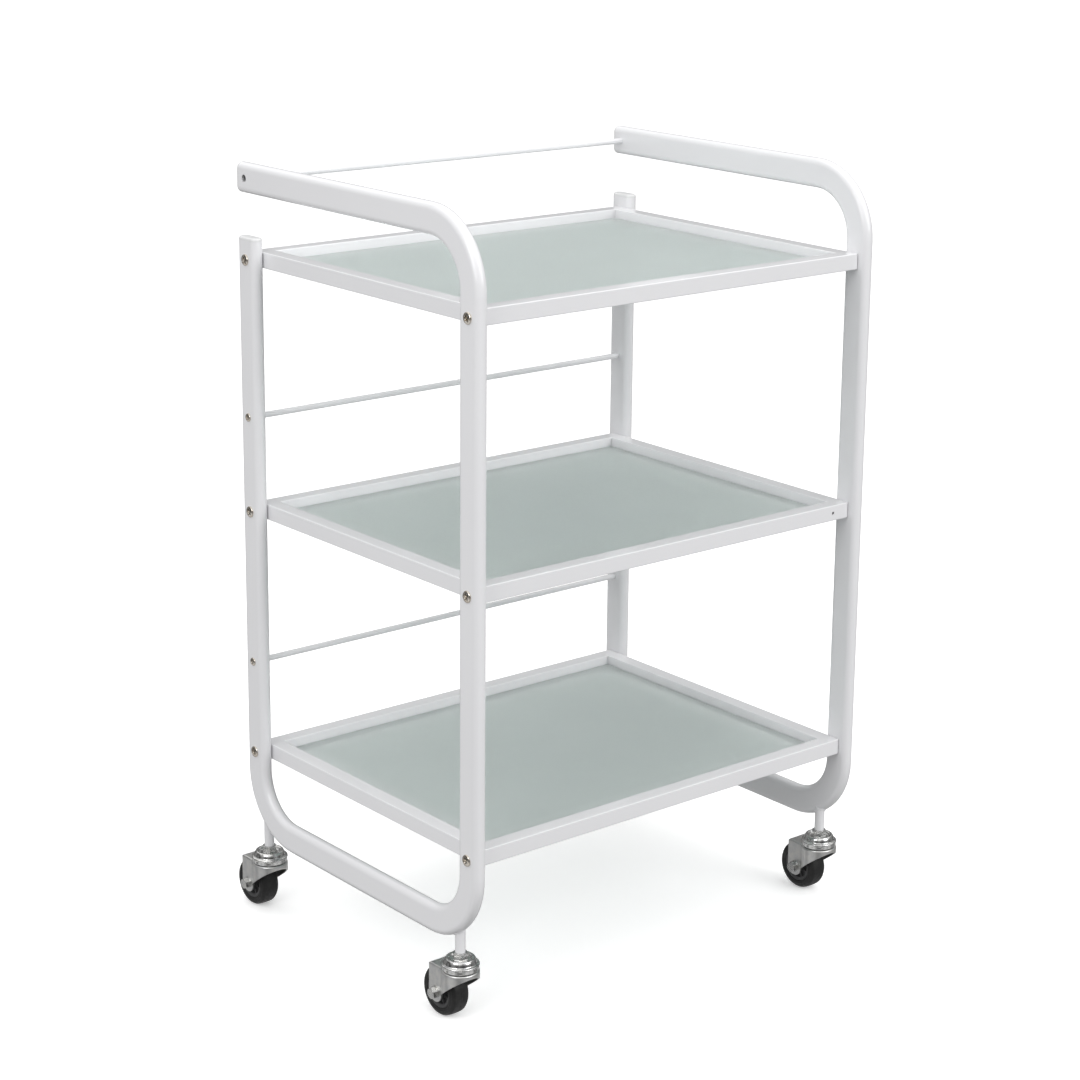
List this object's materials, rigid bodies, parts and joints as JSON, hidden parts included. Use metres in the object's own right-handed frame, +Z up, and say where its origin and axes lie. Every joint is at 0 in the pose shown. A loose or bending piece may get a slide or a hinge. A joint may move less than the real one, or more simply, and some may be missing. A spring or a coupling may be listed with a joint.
{
  "type": "rolling salon trolley",
  "caption": "Rolling salon trolley with bent white tube side frames, recessed frosted-glass shelves, thin back rods and swivel casters.",
  "frame": {"origin": "on the floor, at the middle of the footprint box", "axes": "+X from the left side frame to the right one, -Y the side where the handles bend down, +Y the side of the back rods, +Z up"},
  "size_m": [0.5146, 0.408, 0.778],
  "materials": {
    "white_powder_coat": "semi-gloss",
    "frosted_glass": "acid-etched",
    "white_plastic": "satin",
    "nickel_screw": "polished nickel",
    "zinc_plate": "bright zinc plate",
    "bearing_steel": "ground",
    "hub_plastic": "moulded",
    "black_rubber": "moulded rubber",
    "clear_rubber": "soft"
  },
  "bodies": {
    "trolley_frame": {"side_frame_left": "white_powder_coat", "handle_end_plug_left": "white_plastic", "upright_end_plug_left": "white_plastic", "side_frame_right": "white_powder_coat", "handle_end_plug_right": "white_plastic", "upright_end_plug_right": "white_plastic", "shelf_frame_bottom": "white_powder_coat", "shelf_glass_bottom": "frosted_glass", "shelf_frame_middle": "white_powder_coat", "shelf_glass_middle": "frosted_glass", "shelf_frame_top": "white_powder_coat", "shelf_glass_top": "frosted_glass", "glass_pads": "clear_rubber", "shelf_screws": "nickel_screw", "shelf_threaded_inserts": "zinc_plate", "back_rod_lower": "white_powder_coat", "back_rod_upper": "white_powder_coat", "handle_rod": "white_powder_coat", "rod_screws": "nickel_screw", "handle_rod_screws": "nickel_screw", "caster_socket_front_left": "white_powder_coat", "caster_front_left_stem": "zinc_plate", "caster_front_left_raceway_cap": "zinc_plate", "caster_socket_front_right": "white_powder_coat", "caster_front_right_stem": "zinc_plate", "caster_front_right_raceway_cap": "zinc_plate", "caster_socket_back_left": "white_powder_coat", "caster_back_left_stem": "zinc_plate", "caster_back_left_raceway_cap": "zinc_plate", "caster_socket_back_right": "white_powder_coat", "caster_back_right_stem": "zinc_plate", "caster_back_right_raceway_cap": "zinc_plate"},
    "swivel_front_left": {"caster_front_left_fork": "zinc_plate", "caster_front_left_ball_ring": "bearing_steel", "caster_front_left_axle_bolt": "zinc_plate", "caster_front_left_axle_nut": "zinc_plate", "caster_front_left_axle_sleeve": "zinc_plate"},
    "wheel_front_left": {"caster_front_left_wheel_hub": "hub_plastic", "caster_front_left_tyre": "black_rubber"},
    "swivel_front_right": {"caster_front_right_fork": "zinc_plate", "caster_front_right_ball_ring": "bearing_steel", "caster_front_right_axle_bolt": "zinc_plate", "caster_front_right_axle_nut": "zinc_plate", "caster_front_right_axle_sleeve": "zinc_plate"},
    "wheel_front_right": {"caster_front_right_wheel_hub": "hub_plastic", "caster_front_right_tyre": "black_rubber"},
    "swivel_back_left": {"caster_back_left_fork": "zinc_plate", "caster_back_left_ball_ring": "bearing_steel", "caster_back_left_axle_bolt": "zinc_plate", "caster_back_left_axle_nut": "zinc_plate", "caster_back_left_axle_sleeve": "zinc_plate"},
    "wheel_back_left": {"caster_back_left_wheel_hub": "hub_plastic", "caster_back_left_tyre": "black_rubber"},
    "swivel_back_right": {"caster_back_right_fork": "zinc_plate", "caster_back_right_ball_ring": "bearing_steel", "caster_back_right_axle_bolt": "zinc_plate", "caster_back_right_axle_nut": "zinc_plate", "caster_back_right_axle_sleeve": "zinc_plate"},
    "wheel_back_right": {"caster_back_right_wheel_hub": "hub_plastic", "caster_back_right_tyre": "black_rubber"}
  },
  "joints": [
    {"name": "swivel_front_left", "type": "hinge", "parent": "trolley_frame", "child": "swivel_front_left", "pos_m": [-0.2385, -0.167, 0.0534], "axis": [0, 0, 1], "continuous": true},
    {"name": "wheel_spin_front_left", "type": "hinge", "parent": "swivel_front_left", "child": "wheel_front_left", "pos_m": [-0.2385, -0.145, 0.025], "axis": [1, 0, 0], "continuous": true},
    {"name": "swivel_front_right", "type": "hinge", "parent": "trolley_frame", "child": "swivel_front_right", "pos_m": [0.2385, -0.167, 0.0534], "axis": [0, 0, 1], "continuous": true},
    {"name": "wheel_spin_front_right", "type": "hinge", "parent": "swivel_front_right", "child": "wheel_front_right", "pos_m": [0.2385, -0.145, 0.025], "axis": [1, 0, 0], "continuous": true},
    {"name": "swivel_back_left", "type": "hinge", "parent": "trolley_frame", "child": "swivel_back_left", "pos_m": [-0.2385, 0.157, 0.0534], "axis": [0, 0, 1], "continuous": true},
    {"name": "wheel_spin_back_left", "type": "hinge", "parent": "swivel_back_left", "child": "wheel_back_left", "pos_m": [-0.2385, 0.179, 0.025], "axis": [1, 0, 0], "continuous": true},
    {"name": "swivel_back_right", "type": "hinge", "parent": "trolley_frame", "child": "swivel_back_right", "pos_m": [0.2385, 0.157, 0.0534], "axis": [0, 0, 1], "continuous": true},
    {"name": "wheel_spin_back_right", "type": "hinge", "parent": "swivel_back_right", "child": "wheel_back_right", "pos_m": [0.2385, 0.179, 0.025], "axis": [1, 0, 0], "continuous": true}
  ]
}
